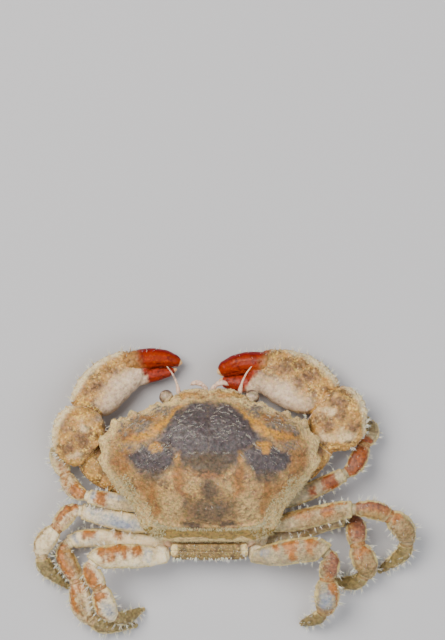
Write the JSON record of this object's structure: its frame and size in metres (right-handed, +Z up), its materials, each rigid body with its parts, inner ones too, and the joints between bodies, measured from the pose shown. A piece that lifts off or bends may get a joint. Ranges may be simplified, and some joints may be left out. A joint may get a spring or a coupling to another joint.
{
  "type": "medaeops crab",
  "caption": "Small rubble crab, life size, standing with its red-fingered claws curled in front; toothed domed shell and bristly banded legs. Still model.",
  "frame": {"origin": "on the floor, under the middle of the crab's whole spread", "axes": "+X to the crab's right, +Y to its front, +Z up"},
  "size_m": [0.045, 0.0344, 0.0108],
  "materials": {
    "shell": "mottled tan, ochre and grey-purple granular shell, satin where wet",
    "underside": "smooth pale cream and pinkish white, slightly translucent",
    "abdomen": "tan with a fringe of short hairs",
    "mouthparts": "pinkish grey with brown corners and red inner edges",
    "eyes": "glossy dark brown cornea on a tan stalk",
    "feelers": "pale pinkish white, translucent",
    "claw_shell": "mottled tan and cream, nodular, white on the lower palm",
    "red_fingers": "glossy crimson with orange grooves and white tips",
    "leg_thighs": "cream white with orange-brown bands",
    "leg_knees": "reddish orange mottled with cream",
    "leg_shanks": "cream with orange-brown blotches",
    "leg_tips": "olive beige under dense short bristles"
  },
  "bodies": {
    "root": {"carapace": "shell", "sternum": "underside", "abdomen_back": "abdomen", "abdomen_flap": "abdomen", "maxilliped_left": "mouthparts", "eye_left": "eyes", "antenna_left": "feelers", "antennule_left": "feelers", "maxilliped_right": "mouthparts", "eye_right": "eyes", "antenna_right": "feelers", "antennule_right": "feelers", "claw_left_arm": "claw_shell", "claw_left_wrist": "claw_shell", "claw_left_palm": "claw_shell", "claw_left_finger": "red_fingers", "claw_right_arm": "claw_shell", "claw_right_wrist": "claw_shell", "claw_right_palm": "claw_shell", "claw_right_finger": "red_fingers", "leg2_left_merus": "leg_thighs", "leg2_left_carpus": "leg_knees", "leg2_left_propodus": "leg_shanks", "leg2_left_dactylus": "leg_tips", "leg2_right_merus": "leg_thighs", "leg2_right_carpus": "leg_knees", "leg2_right_propodus": "leg_shanks", "leg2_right_dactylus": "leg_tips", "leg3_left_merus": "leg_thighs", "leg3_left_carpus": "leg_knees", "leg3_left_propodus": "leg_shanks", "leg3_left_dactylus": "leg_tips", "leg3_right_merus": "leg_thighs", "leg3_right_carpus": "leg_knees", "leg3_right_propodus": "leg_shanks", "leg3_right_dactylus": "leg_tips", "leg4_left_merus": "leg_thighs", "leg4_left_carpus": "leg_knees", "leg4_left_propodus": "leg_shanks", "leg4_left_dactylus": "leg_tips", "leg4_right_merus": "leg_thighs", "leg4_right_carpus": "leg_knees", "leg4_right_propodus": "leg_shanks", "leg4_right_dactylus": "leg_tips", "leg5_left_merus": "leg_thighs", "leg5_left_carpus": "leg_knees", "leg5_left_propodus": "leg_shanks", "leg5_left_dactylus": "leg_tips", "leg5_right_merus": "leg_thighs", "leg5_right_carpus": "leg_knees", "leg5_right_propodus": "leg_shanks", "leg5_right_dactylus": "leg_tips"}
  },
  "joints": []
}
